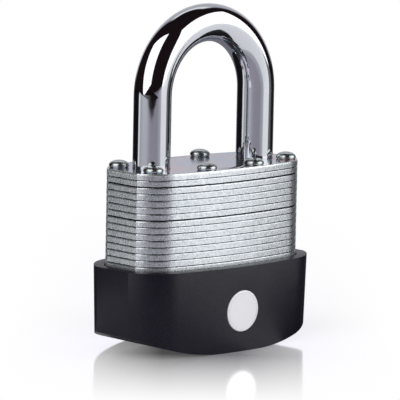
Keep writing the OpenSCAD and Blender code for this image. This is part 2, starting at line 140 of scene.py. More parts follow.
@dataclass
class Nodes:
    """Short forms of add_node for one node tree. All but add give the new node's output.

    Attributes:
        tree: The node tree.
    """

    tree: NodeTree

    def add(self, kind: str, inputs: dict | None = None, **settings: object) -> Node:
        """Adds any node."""
        return add_node(self.tree, kind, inputs, **settings)

    def math(self, operation: str, *values: Value) -> NodeSocket:
        """Works out a value from one, two or three others."""
        return self.add("Math", dict(enumerate(values)), operation=operation).outputs[0]

    def dot(self, first: Value, second: Value) -> NodeSocket:
        """Gives how far one vector reaches along another."""
        vectors = {0: first, 1: second}
        return self.add("VectorMath", vectors, operation="DOT_PRODUCT").outputs["Value"]

    def height(self, vector: Value) -> NodeSocket:
        """Gives a vector's upward part."""
        return self.add("SeparateXYZ", {0: vector}).outputs["Z"]

    def remap(self, value: Value, source: Pair, target: Pair = (0.0, 1.0), clamp: bool = True) -> NodeSocket:
        """Moves a value from one span to another."""
        ends = {"From Min": source[0], "From Max": source[1], "To Min": target[0], "To Max": target[1]}
        return self.add("MapRange", {"Value": value, **ends}, clamp=clamp).outputs["Result"]

    def mix(self, share: Value, first: Value, second: Value, blend_type: str = "MIX") -> NodeSocket:
        """Mixes two colours."""
        inputs = {0: share, 6: first, 7: second}
        return self.add("Mix", inputs, data_type="RGBA", blend_type=blend_type).outputs[2]

    def mix_values(self, share: Value, first: Value, second: Value) -> NodeSocket:
        """Mixes two values."""
        return self.add("Mix", {0: share, 2: first, 3: second}, data_type="FLOAT").outputs[0]

    def mix_shaders(self, share: Value, first: NodeSocket, second: NodeSocket) -> NodeSocket:
        """Mixes two shaders."""
        return self.add("MixShader", {0: share, 1: first, 2: second}).outputs["Shader"]

    def ramp(self, value: Value, stops: Stops) -> NodeSocket:
        """Turns a value into a colour."""
        return self.add("ValToRGB", {"Fac": value}, ramp=stops).outputs["Color"]

    def noise(self, place: Value, size: float, detail: float, roughness: float = 0.5) -> NodeSocket:
        """Makes noise whose features are size millimetres across."""
        inputs = {"Vector": place, "Scale": per_mm(size), "Detail": detail, "Roughness": roughness}
        return self.add("TexNoise", inputs).outputs["Fac"]

    def upright(self, place: Value, share: float) -> NodeSocket:
        """Draws out upwards whatever pattern follows, the more the smaller the share."""
        return self.add("Mapping", {"Vector": place, "Scale": (1.0, 1.0, share)}).outputs["Vector"]

    def bump(self, height: Value, strength: Value, depth: float) -> NodeSocket:
        """Turns a pattern into relief that is depth millimetres deep."""
        inputs = {"Height": height, "Strength": strength, "Distance": depth * MM}
        return self.add("Bump", inputs).outputs["Normal"]


def empty_nodes(owner: Material | World) -> Nodes:
    """Gives a material's or a world's nodes, emptied.

    Args:
        owner: The material or the world.

    Returns:
        Its nodes.
    """
    owner.use_nodes = True
    owner.node_tree.nodes.clear()
    return Nodes(owner.node_tree)


# ---- Finishes ----

# Nearly all of a noise's values lie in this span, round this middle
NOISE_SPAN = (0.3, 0.7)
NOISE_MIDDLE = 0.5


@dataclass(frozen=True)
class Finish:
    """A surface finish: a Principled shader with its own pattern.

    Attributes:
        name: The material's name.
        colour: Base colour as sRGB hex.
        metallic: 1 for bare or plated metal, 0 for plastic.
        roughness: Middle roughness of the surface.
        specular: Specular level, where 0.5 is that of the default IOR.
        spread: Roughness at the two ends of the pattern, as shares of the middle one.
        relief: Strength of the bump, and its depth in millimetres.
        mark: Size in millimetres of a plain finish's tooling marks.
    """

    name: str
    colour: str
    metallic: float = 1.0
    roughness: float = 0.3
    specular: float = 0.5
    spread: Pair = (0.8, 1.3)
    relief: Pair = (0.15, 0.02)
    mark: float = 0.5

    def material(self) -> Material:
        """Gives the finish's material, made once.

        Returns:
            The material.
        """
        made = bpy.data.materials.get(self.name)
        if made:
            return made
        made = bpy.data.materials.new(self.name)
        nodes = empty_nodes(made)
        look = {"Base Color": linear(self.colour), "Metallic": self.metallic, "Roughness": self.roughness}
        shader = nodes.add("BsdfPrincipled", {**look, "Specular IOR Level": self.specular})
        nodes.add("OutputMaterial", {"Surface": shader.outputs["BSDF"]})
        place = nodes.add("TexCoord").outputs["Object"]
        for name, output in self.pattern(nodes, place).items():
            nodes.tree.links.new(output, shader.inputs[name])
        made.diffuse_color = linear(self.colour)
        return made

    def pattern(self, nodes: Nodes, place: NodeSocket) -> Outputs:
        """Makes the finish's own pattern. A plain finish gets faint tooling marks.

        Args:
            nodes: The material's nodes.
            place: Object coordinates.

        Returns:
            Outputs that drive the shader, by the name of its input.
        """
        marks = nodes.noise(place, self.mark, detail=4.0, roughness=0.6)
        return self.uneven(nodes, marks, marks)

    def uneven(self, nodes: Nodes, gloss: NodeSocket, height: NodeSocket, span: Pair = NOISE_SPAN) -> Outputs:
        """Makes the roughness and the height uneven.

        Args:
            nodes: The material's nodes.
            gloss: The pattern that changes the roughness.
            height: The pattern that changes the height.
            span: The part of the gloss pattern that the whole spread is laid over.

        Returns:
            Outputs for the shader's roughness and normal.
        """
        least, greatest = (self.roughness * share for share in self.spread)
        strength, depth = self.relief
        return {
            "Roughness": nodes.remap(gloss, span, (least, greatest)),
            "Normal": nodes.bump(height, strength, depth),
        }


@dataclass(frozen=True)
class ChromePlate(Finish):
    """Mirror chrome over polished steel rod.

    Attributes:
        ripple: Size in millimetres of the slow waves that polishing leaves.
        draw_line: Width in millimetres of the drawing lines along the rod, drawn coarse so that they show.
        draw_out: How far the lines are drawn out along the rod.
        line_span: The part of the lines' values that changes the roughness.
    """

    spread: Pair = (0.6, 1.6)
    relief: Pair = (0.25, 0.05)
    ripple: float = 5.0
    draw_line: float = 0.6
    draw_out: float = 0.05
    line_span: Pair = (0.35, 0.7)

    def pattern(self, nodes: Nodes, place: NodeSocket) -> Outputs:
        """Makes slow ripples that bend the reflections a little, and drawing lines along the rod.

        Args:
            nodes: The material's nodes.
            place: Object coordinates.

        Returns:
            Outputs that drive the shader, by the name of its input.
        """
        ripples = nodes.noise(place, self.ripple, detail=1.0)
        lines = nodes.noise(nodes.upright(place, self.draw_out), self.draw_line, detail=2.0)
        return self.uneven(nodes, lines, ripples, self.line_span)


@dataclass(frozen=True)
class ShearedZinc(Finish):
    """Bright zinc over punched steel plate: smooth faces and sheared, flecked edges.

    Attributes:
        face_roughness, face_relief: Roughness and bump strength of the flat faces.
        face_tilt: Upward part of the normal at which an edge begins to be a face, and is one.
        face_tints, tint: Colours of the passivated film on the faces, and the size of a patch of one.
        fleck: Size in millimetres of the zinc's flecks, drawn coarser than the real ones so that they show.
        streak, streak_out: Width in millimetres of the punch's streaks, and how far they are drawn out.
        streak_share: Share of the streaks in the edges' grain.
        fleck_tints: Colours of the duller and the brighter flecks.
        fleck_stops: Grain at which a fleck is dull, plain and bright.
        plate_t, stack_z: Thickness of a plate, and height of the lowest one's underside.
        sway, sway_size: How far in plates a sheared edge sways, and the length of a sway in millimetres.
        painted_light_band: Colours from a plate's underside to its top: the seam, painted dark as painted
            shade over the bare gap's own dark, a painted highlight on the burr, the sheared land, a darker
            rolled edge, and the seam again.
        pressed: Pair of the sway over which a seam closes up, and how much of the seam's painted shade is
            left there.
        top_seam: Height in plates above which there is no seam.
        open_seams: Seams that stand open, counted in plates from the bottom.
        open_half, open_seam_shade_colour: Half height in plates, and colour, of the painted shade in an open
            seam.
    """

    spread: Pair = (1.25, 0.75)
    relief: Pair = (0.42, 0.11)
    face_roughness: float = 0.16
    face_relief: float = 0.06
    face_tilt: Pair = (0.85, 0.97)
    face_tints: Stops = ((0.34, "#a9b6c6"), (0.5, "#b6b4be"), (0.62, "#c6b2b4"))
    tint: float = 9.0
    fleck: float = 0.32
    streak: float = 0.3
    streak_out: float = 0.3
    streak_share: float = 0.3
    fleck_tints: tuple[str, str] = ("#c0c7cd", "#fcfdfe")
    fleck_stops: tuple[float, float, float] = (0.34, 0.48, 0.6)
    plate_t: float = 1.4
    stack_z: float = 5.15
    sway: float = 0.12
    sway_size: float = 1.4
    # Painted light: the dark seam colours are painted shade between the plates, over the bare gap's own dark,
    # and the white at the burr is a painted highlight
    painted_light_band: Stops = (
        (0.0, "#20262c"), (0.045, "#4a5056"), (0.085, "#ffffff"), (0.2, "#eceeef"),
        (0.72, "#eaecee"), (0.9, "#ccd0d4"), (0.955, "#4a5056"), (1.0, "#20262c"),
    )
    pressed: tuple[Pair, Pair] = ((0.48, 0.66), (1.0, 0.55))
    top_seam: float = 23.6
    open_seams: Pair = (22.0, 17.0)
    open_half: float = 0.115
    # Painted shade that fills the two open seams
    open_seam_shade_colour: str = "#1c2024"

    def pattern(self, nodes: Nodes, place: NodeSocket) -> Outputs:
        """Makes flecks and punch streaks on the edges, seams with painted shade and burrs with a painted
        highlight, and a faint tint on the faces.

        Args:
            nodes: The material's nodes.
            place: Object coordinates.

        Returns:
            Outputs that drive the shader, by the name of its input.
        """
        normal = nodes.add("NewGeometry").outputs["Normal"]
        flat = nodes.remap(nodes.math("ABSOLUTE", nodes.height(normal)), self.face_tilt)
        flecks = nodes.noise(place, self.fleck, detail=2.0, roughness=0.7)
        across = nodes.upright(place, self.streak_out)
        streaks = nodes.noise(across, self.streak, detail=2.0, roughness=0.6)
        grain = nodes.mix_values(self.streak_share, flecks, streaks)
        face = nodes.ramp(nodes.noise(place, self.tint, detail=1.0), self.face_tints)
        strength, depth = self.relief
        eased = nodes.remap(flat, (0.0, 1.0), (strength, self.face_relief))
        least, greatest = (self.roughness * share for share in self.spread)
        edge_rough = nodes.remap(grain, NOISE_SPAN, (least, greatest))
        return {
            "Base Color": nodes.mix(flat, self.edge_colour(nodes, place, grain), face),
            "Roughness": nodes.mix_values(flat, edge_rough, self.face_roughness),
            "Normal": nodes.bump(grain, eased, depth),
        }

    def edge_colour(self, nodes: Nodes, place: NodeSocket, grain: NodeSocket) -> NodeSocket:
        """Colours the plates' edges, with painted shade in the seams between them and a painted highlight on
        each burr.

        Args:
            nodes: The material's nodes.
            place: Object coordinates.
            grain: The flecks and streaks.

        Returns:
            The colour.
        """
        # Height above the lowest plate, in plates. No sheared edge is quite straight, so it sways
        one_plate = (self.stack_z * MM, (self.stack_z + self.plate_t) * MM)
        in_plates = nodes.remap(nodes.height(place), one_plate, clamp=False)
        wave = nodes.noise(place, self.sway_size, detail=3.0)
        level = nodes.math("MULTIPLY_ADD", nodes.math("SUBTRACT", wave, NOISE_MIDDLE), self.sway, in_plates)
        # Painted shade in each seam and a painted highlight on each burr, by height in the plate
        painted_light_band = nodes.ramp(nodes.math("FRACT", level), self.painted_light_band)
        # The painted seam shade thins where the seams close up here and there, and there is none above the
        # top plate
        under_top = nodes.math("LESS_THAN", in_plates, self.top_seam)
        seams = nodes.math("MULTIPLY", nodes.remap(wave, *self.pressed), under_top)
        dull, bright = self.fleck_tints
        land = nodes.ramp(grain, list(zip(self.fleck_stops, (dull, self.colour, bright))))
        land_with_painted_light = nodes.mix(seams, land, painted_light_band, blend_type="MULTIPLY")
        # The two open seams are painted darker still: painted shade in the open gap
        upper, lower = (nodes.math("COMPARE", level, seam, self.open_half) for seam in self.open_seams)
        return nodes.mix(nodes.math("MAXIMUM", upper, lower), land_with_painted_light, linear(self.open_seam_shade_colour))


@dataclass(frozen=True)
class SparkTexturedPlastic(Finish):
    """Black polypropylene moulded in a spark-eroded tool: matt, with a fine even grain.

    Attributes:
        grain: Size in millimetres of the grain, drawn a little coarse so that it shows.
        handling: Size in millimetres of the slow patches that handling leaves.
        grain_tints: Colours of the grain's hollows and tops.
        grain_stops: Heights in the grain of its hollows, its middle and its tops.
    """

    spread: Pair = (0.92, 1.1)
    relief: Pair = (0.35, 0.05)
    grain: float = 0.28
    handling: float = 7.0
    grain_tints: tuple[str, str] = ("#0a0912", "#1a182a")
    grain_stops: tuple[float, float, float] = (0.3, 0.52, 0.72)

    def pattern(self, nodes: Nodes, place: NodeSocket) -> Outputs:
        """Makes the tool's grain and slow changes of gloss.

        Args:
            nodes: The material's nodes.
            place: Object coordinates.

        Returns:
            Outputs that drive the shader, by the name of its input.
        """
        grain = nodes.noise(place, self.grain, detail=2.0)
        patches = nodes.noise(place, self.handling, detail=3.0)
        hollow, top = self.grain_tints
        colour = nodes.ramp(grain, list(zip(self.grain_stops, (hollow, self.colour, top))))
        return {"Base Color": colour, **self.uneven(nodes, patches, grain)}


@dataclass(frozen=True)
class TurnedMetal(Finish):
    """Brass or steel turned on a lathe: fine rings round the Z axis.

    Attributes:
        feed: Distance in millimetres between the tool's rings, drawn coarse so that it shows.
        waves: Factor that the wave texture puts on its scale by itself.
        patch: Size in millimetres of a patch of tarnish.
        darkening: Brightness of the darkest and the brightest patches.
    """

    spread: Pair = (1.3, 0.7)
    relief: Pair = (0.3, 0.02)
    feed: float = 0.25
    waves: float = 20
    patch: float = 2.5
    darkening: Pair = (0.8, 1.08)

    def pattern(self, nodes: Nodes, place: NodeSocket) -> Outputs:
        """Makes the tool's rings and a little tarnish.

        Args:
            nodes: The material's nodes.
            place: Object coordinates.

        Returns:
            Outputs that drive the shader, by the name of its input.
        """
        inputs = {"Vector": place, "Scale": per_mm(self.feed) / self.waves, "Distortion": 0.4, "Detail": 2.0}
        rings = nodes.add("TexWave", inputs, wave_type="RINGS", rings_direction="Z")
        tarnish = nodes.noise(place, self.patch, detail=4.0)
        brightness = nodes.remap(tarnish, NOISE_SPAN, self.darkening)
        shade = nodes.add("HueSaturation", {"Color": linear(self.colour), "Value": brightness})
        uneven = self.uneven(nodes, tarnish, rings.outputs["Fac"], (0.0, 1.0))
        return {"Base Color": shade.outputs["Color"], **uneven}


# Hard mirror bands with soft ripples in them: polished, plated rod
CHROME = ChromePlate("chrome_plate", "#d4d7dc", roughness=0.035)
# A sparkle of pale flecks on the edges, and cooler, calmer faces with a hint of colour: plated sheet
ZINC = ShearedZinc("zinc_plated_sheared_steel", "#e8eef1", metallic=0.88, roughness=0.26)
# Small bright domes with soft highlights
RIVET = Finish("nickel_plated_rivet", "#c6cece", roughness=0.24)
# A dull violet black with a broad soft sheen: moulded plastic, not paint or rubber
PLASTIC = SparkTexturedPlastic(
    "textured_black_polypropylene", "#110f1d", metallic=0.0, roughness=0.36, specular=0.36
)
# An even silver white that hardly mirrors
BADGE = Finish("satin_anodised_aluminium", "#f0f0f3", metallic=0.5, roughness=0.42)
# Warm yellow with fine rings, a little dull in patches
BRASS = TurnedMetal("turned_brass", "#d8b25a", roughness=0.24)
# A deeper, duller yellow without rings
CAST_BRASS = Finish("cast_brass", "#c79a48", roughness=0.42)
# Clean pale grey with fine rings
PIN_NICKEL = TurnedMetal("nickel_plated_pin", "#c4c6c8", roughness=0.2)
# Mid grey with a narrow bright line along each coil
SPRING_WIRE = Finish("drawn_spring_wire", "#8b9199", roughness=0.3)
# Dark blue grey with a low sheen
BLUED_STEEL = Finish("blued_steel", "#5a6069", roughness=0.34)
# A warm, dull grey, as oiled steel from the press is
LATCH_STEEL = Finish("hardened_stamped_steel", "#8f8c80", roughness=0.4)


# ---- Mesh helpers ----

# Corners closer than these are one, in millimetres: in a mesh, on a mirror line, and after a cut
WELD = 0.0005
MIRROR_WELD = 0.0001
CUT_WELD = 0.002
# Corners within this of a height lie at it, in millimetres
LEVEL = 0.001


def sharp_edges(bm: BMesh, angle: float) -> list[BMEdge]:
    """Picks the edges whose two faces meet at more than an angle.

    Args:
        bm: The mesh.
        angle: The least angle in degrees.

    Returns:
        The edges.
    """
    bm.normal_update()
    return [e for e in bm.edges if len(e.link_faces) == 2 and e.calc_face_angle(0.0) > math.radians(angle)]


def round_edges(bm: BMesh, edges: Iterable[BMEdge], width: float, segments: int = 2) -> None:
    """Rounds edges.

    Args:
        bm: The mesh.
        edges: The edges to round.
        width: Distance in millimetres that the rounding takes from each face.
        segments: Number of strips in the rounding.
    """
    bmesh.ops.bevel(
        bm, geom=list(edges), offset=width, offset_type="OFFSET", segments=segments, profile=0.5,
        affect="EDGES", clamp_overlap=True, material=-1,
    )


def merge_flat(bm: BMesh, angle: float) -> None:
    """Merges the faces that meet at less than an angle in degrees."""
    geometry = {"verts": bm.verts, "edges": bm.edges}
    bmesh.ops.dissolve_limit(bm, angle_limit=math.radians(angle), use_dissolve_boundaries=False, **geometry)


def as_mesh(bm: BMesh, name: str) -> Mesh:
    """Turns a working mesh into mesh data, and frees it.

    Args:
        bm: The working mesh.
        name: The data's name.

    Returns:
        The mesh data.
    """
    mesh = bpy.data.meshes.new(name)
    bm.to_mesh(mesh)
    bm.free()
    return mesh


def linked(name: str, data: ID) -> Object:
    """Makes an object and puts it in the scene.

    Args:
        name: The object's name.
        data: Its data.

    Returns:
        The object.
    """
    made = bpy.data.objects.new(name, data)
    bpy.context.scene.collection.objects.link(made)
    return made


def add_part(bm: BMesh, part: BMesh) -> None:
    """Adds one working mesh to another, and frees it.

    Args:
        bm: The mesh that grows.
        part: The mesh that is added.
    """
    mesh = as_mesh(part, "part")
    bm.from_mesh(mesh)
    bpy.data.meshes.remove(mesh)


def mirror_over(bm: BMesh, axis: Axis) -> None:
    """Adds the mirror image of an outline."""
    outline = bm.verts[:] + bm.edges[:]
    bmesh.ops.mirror(bm, geom=outline, matrix=Matrix.Identity(4), merge_dist=MIRROR_WELD, axis=axis.value)


def verts_of(geometry: Iterable[object]) -> list[BMVert]:
    """Picks the corners from what an operator made."""
    return [g for g in geometry if isinstance(g, BMVert)]


def merged_copy(node: str) -> BMesh:
    """Copies a CAD node's mesh in millimetres, with its loose triangles merged.

    Args:
        node: The CAD node's name.

    Returns:
        The merged mesh.
    """
    bm = bmesh.new()
    bm.from_mesh(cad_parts[node].data)
    bmesh.ops.scale(bm, vec=(1 / MM,) * 3, verts=bm.verts)
    bmesh.ops.remove_doubles(bm, verts=bm.verts, dist=WELD)
    return bm


def combined(bm: BMesh, tool: BMesh, operation: str) -> BMesh:
    """Cuts one mesh with another, or keeps what they share.

    Args:
        bm: The mesh to change. It is freed.
        tool: The other mesh. It is freed.
        operation: DIFFERENCE, INTERSECT or UNION.

    Returns:
        The new mesh.
    """
    objects = [linked("work", as_mesh(part, "work")) for part in (bm, tool)]
    modifier = objects[0].modifiers.new("cut", "BOOLEAN")
    modifier.operation = operation
    modifier.solver = "EXACT"
    modifier.object = objects[1]
    depsgraph = bpy.context.evaluated_depsgraph_get()
    done = bmesh.new()
    done.from_mesh(objects[0].evaluated_get(depsgraph).to_mesh())
    for work in objects:
        mesh = work.data
        bpy.data.objects.remove(work)
        bpy.data.meshes.remove(mesh)
    return done


def cylinder_tool(radius: float, z0: float, z1: float, x: float = 0.0, y: float = 0.0) -> BMesh:
    """Makes an upright cylinder to cut with.

    Args:
        radius: Its radius.
        z0, z1: Heights of its ends.
        x, y: Place of its axis.

    Returns:
        The mesh.
    """
    bm = bmesh.new()
    bmesh.ops.create_cone(
        bm, cap_ends=True, segments=64, radius1=radius, radius2=radius, depth=z1 - z0,
        matrix=Matrix.Translation((x, y, (z0 + z1) / 2)),
    )
    return bm


def spun(profile: Sequence[Pair], steps: int = 64) -> BMesh:
    """Spins a half section round the Z axis.

    Args:
        profile: Radius and height of each corner of the section, from one end of the axis to the other.
        steps: Number of steps in the full turn.

    Returns:
        The closed solid of revolution.
    """
    bm = bmesh.new()
    corners = [bm.verts.new((radius, 0.0, height)) for radius, height in profile]
    edges = [bm.edges.new(pair) for pair in zip(corners, corners[1:])]
    bmesh.ops.spin(
        bm, geom=corners + edges, cent=(0, 0, 0), axis=(0, 0, 1), angle=math.tau, steps=steps, use_merge=True
    )
    bmesh.ops.remove_doubles(bm, verts=bm.verts, dist=WELD)
    bmesh.ops.recalc_face_normals(bm, faces=bm.faces)
    return bm


@dataclass
class Piece:
    """A finished piece: its mesh, finish, body, and the CAD node that it stands for.

    Attributes:
        name: The piece's name.
        node: The CAD node that it stands for.
        body: The CAD body that it rides on.
        finish: Its surface finish.
        slot: The record's material slot. It is not used.
        smooth: Edges that meet at less than this angle in degrees are shaded smooth.
    """

    name: str
    node: str
    body: Body
    finish: Finish
    slot: str
    smooth: float = 22.0

    def finished(self, bm: BMesh) -> Object:
        """Turns a mesh in millimetres into the finished object.

        Args:
            bm: The mesh. It is freed.

        Returns:
            The object, which rides on its body and replaces its CAD node.
        """
        bmesh.ops.scale(bm, vec=(MM,) * 3, verts=bm.verts)
        mesh = as_mesh(bm, self.name)
        made = linked(self.name, mesh)
        mesh.materials.append(self.finish.material())
        mesh.shade_smooth()
        mesh.set_sharp_from_angle(angle=math.radians(self.smooth))
        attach(made, self.body.value)
        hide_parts(self.node)
        log.info("%s: %d faces, rides on %s", self.name, len(mesh.polygons), self.body.value)
        return made


# ---- The body ----


@dataclass
class BodyPlan:
    """The body's plan: end flats, corner arcs and long front and back arcs.

    Attributes:
        plate_w, plate_d: Width and depth of each plate.
        front_r: Radius of the long front and back edges.
        corner_r: Radius of the corners.
        end_crease: Angle in degrees where an end flat meets its corner arcs.
        corner_steps, front_steps: Edges in each corner arc, and in half of the front arc.
    """

    plate_w: float = 46.0
    plate_d: float = 21.8
    front_r: float = 92.0
    corner_r: float = 9.0
    end_crease: float = 26.0
    corner_steps: int = 14
    front_steps: int = 14

    @property
    def front_cy(self) -> float:
        """How far behind the middle the front arc's centre is."""
        return self.front_r - self.plate_d / 2

    @property
    def corner_x(self) -> float:
        """How far out the corner arcs' centres are."""
        return self.plate_w / 2 - self.corner_r * math.cos(math.radians(self.end_crease))

    @property
    def corner_y(self) -> float:
        """How far to the front and back the corner arcs' centres are."""
        return math.sqrt((self.front_r - self.corner_r) ** 2 - self.corner_x**2) - self.front_cy

    def ring(self, bm: BMesh, grown: float, z: float) -> None:
        """Adds the plan's outline as a closed ring: one quarter from arcs, then mirrored twice.

        Args:
            bm: The mesh that gets the ring.
            grown: How far the outline is grown.
            z: Its height.
        """
        end_x = self.plate_w / 2 + grown
        radius = self.corner_r + grown
        start = math.acos((end_x - self.corner_x) / radius)
        tangent = math.atan2(self.corner_y + self.front_cy, self.corner_x)
        part = bmesh.new()
        middle = part.verts.new((end_x, 0.0, z))
        crease = part.verts.new((end_x, self.corner_y + radius * math.sin(start), z))
        part.edges.new((middle, crease))
        swept = bmesh.ops.spin(
            part, geom=[crease], cent=(self.corner_x, self.corner_y, z), axis=(0, 0, 1),
            angle=tangent - start, steps=self.corner_steps,
        )["geom_last"]
        bmesh.ops.spin(
            part, geom=verts_of(swept), cent=(0.0, -self.front_cy, z), axis=(0, 0, 1),
            angle=math.pi / 2 - tangent, steps=self.front_steps,
        )
        for axis in Axis:
            mirror_over(part, axis)
        add_part(bm, part)

    def solid(self, z0: float, z1: float, grown0: float, grown1: float) -> BMesh:
        """Makes a closed solid between two outlines.

        Args:
            z0, z1: Heights of the outlines.
            grown0, grown1: How far each is grown.

        Returns:
            The mesh, with normals pointing out.
        """
        bm = bmesh.new()
        self.ring(bm, grown0, z0)
        self.ring(bm, grown1, z1)
        low, high = [[e for e in bm.edges if abs(e.verts[0].co.z - z) < LEVEL] for z in (z0, z1)]
        bmesh.ops.bridge_loops(bm, edges=low + high)
        for level in (low, high):
            bmesh.ops.edgeloop_fill(bm, edges=level)
        bmesh.ops.recalc_face_normals(bm, faces=bm.faces)
        return bm


@dataclass
class PlateStack:
    """The laminated body: punched plates with rolled edges.

    Attributes:
        plan: The plates' plan.
        plate_t: Thickness of a plate.
        rolled: Width of the edge that the punch rolls over, on a plate's upper side.
        broken: Width of the edge where the punch breaks out, on its lower side.
        inset: How far the rolled outline stays inside the CAD plate.
        shuffle: Depth and pace of the two waves by which the plates' edges step in.
        open_seams: Plates, counted from the top, with an open seam under them.
        open_edges: How much wider the edges under and over an open seam are broken and rolled.
        spare: How much thicker than the plate the rolled blank is, on each side.
        smooth: Edges that meet at less than this angle in degrees are shaded smooth.
        slots: Slot names handed to the pieces of the top plate and of the others.
    """

    plan: BodyPlan = field(default_factory=BodyPlan)
    plate_t: float = 1.4
    rolled: float = 0.30
    broken: float = 0.12
    inset: float = 0.02
    shuffle: tuple[Pair, Pair] = ((0.018, 2.4), (0.012, 5.1))
    open_seams: tuple[int, ...] = (2, 7)
    open_edges: Pair = (0.1, 0.08)
    spare: float = 0.05
    smooth: float = 12.0
    slots: tuple[str, str] = ("top_plate_zinc", "plate_zinc")

    def nodes(self) -> list[str]:
        """Lists the plates' CAD nodes from the top down."""
        plates = [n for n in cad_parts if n.endswith("_plate") or "_plate_" in n]
        return sorted(plates, key=lambda n: -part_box(n)[1].z)

    def rolled_blank(self, index: int, z1: float) -> BMesh:
        """Makes the outline of one plate with its edges rolled, a little thicker than the plate.

        Args:
            index: The plate's number from the top.
            z1: Height of its upper face.

        Returns:
            The blank.
        """
        z0 = z1 - self.plate_t
        # No two punched plates stack alike, so their edges step in and out by a few hundredths
        (slow_depth, slow), (quick_depth, quick) = self.shuffle
        step = slow_depth * math.sin(index * slow) ** 2 + quick_depth * math.cos(index * quick) ** 2
        more_broken, more_rolled = self.open_edges
        broken = self.spare + self.broken + (more_broken if index in self.open_seams else 0.0)
        rolled = self.spare + self.rolled + (more_rolled if index - 1 in self.open_seams else 0.0)
        bm = self.plan.solid(z0 - self.spare, z1 + self.spare, -self.inset - step, -self.inset - step)
        upper = [e for e in bm.edges if min(v.co.z for v in e.verts) > z1]
        round_edges(bm, upper, rolled, segments=4)
        lower = [e for e in bm.edges if max(v.co.z for v in e.verts) < z0 - self.spare / 2]
        round_edges(bm, lower, broken, segments=4)
        return bm

    def build(self) -> None:
        """Makes every plate from its CAD plate and its rolled blank."""
        for index, node in enumerate(self.nodes(), start=1):
            z1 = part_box(node)[1].z / MM
            bm = combined(merged_copy(node), self.rolled_blank(index, z1), "INTERSECT")
            slot = self.slots[0] if index == 1 else self.slots[1]
            Piece(f"{node}_punched", node, Body.CASE, ZINC, slot, self.smooth).finished(bm)


@dataclass
class RivetSet:
    """Eight rivets through the stack, each with a domed head at both ends.

    Attributes:
        shank_d: Diameter of the shanks.
        head_d, head_h: Diameter and height of the heads.
        low_z, high_z: Heights where the lower and the upper heads bear.
        outer, inner: Places of the outer and the inner rivets.
        waist: Height of a head's widest ring, as a share of the head's height.
        undercut: Angle in degrees at which each dome starts, below its widest ring.
        dome_steps: Strips in each dome.
    """

    shank_d: float = 3.4
    head_d: float = 4.3
    head_h: float = 1.55
    low_z: float = 5.15
    high_z: float = 38.75
    outer: Pair = (19.2, 5.35)
    inner: Pair = (6.8, 8.4)
    waist: float = 0.3
    undercut: float = -25.0
    dome_steps: int = 18

    def places(self) -> list[Pair]:
        """Lists the places of the eight rivets."""
        corners = [(side, end) for side in (-1, 1) for end in (-1, 1)]
        return [(side * x, end * y) for x, y in (self.outer, self.inner) for side, end in corners]

    def head_profile(self) -> list[Pair]:
        """Gives a head's half section from its bearing face to its crown.

        Returns:
            Radius and height above the bearing face of each corner.
        """
        waist = self.head_h * self.waist
        sweep, steps = 90 - self.undercut, self.dome_steps
        turns = (math.radians(self.undercut + sweep * i / steps) for i in range(steps + 1))
        return [(self.head_d / 2 * math.cos(t), waist + (self.head_h - waist) * math.sin(t)) for t in turns]

    def build(self) -> None:
        """Makes the eight rivets as one piece."""
        head = self.head_profile()
        upper = [(r, self.high_z + z) for r, z in head]
        lower = [(r, self.low_z - z) for r, z in reversed(head)]
        shank = [(self.shank_d / 2, self.low_z), (self.shank_d / 2, self.high_z)]
        one = spun(lower + shank + upper, steps=48)
        bm = bmesh.new()
        for x, y in self.places():
            rivet = one.copy()
            bmesh.ops.translate(rivet, vec=(x, y, 0.0), verts=rivet.verts)
            add_part(bm, rivet)
        one.free()
        Piece("rivets_domed", "rivets", Body.CASE, RIVET, "rivet_steel", smooth=32.0).finished(bm)


# ---- The shackle ----


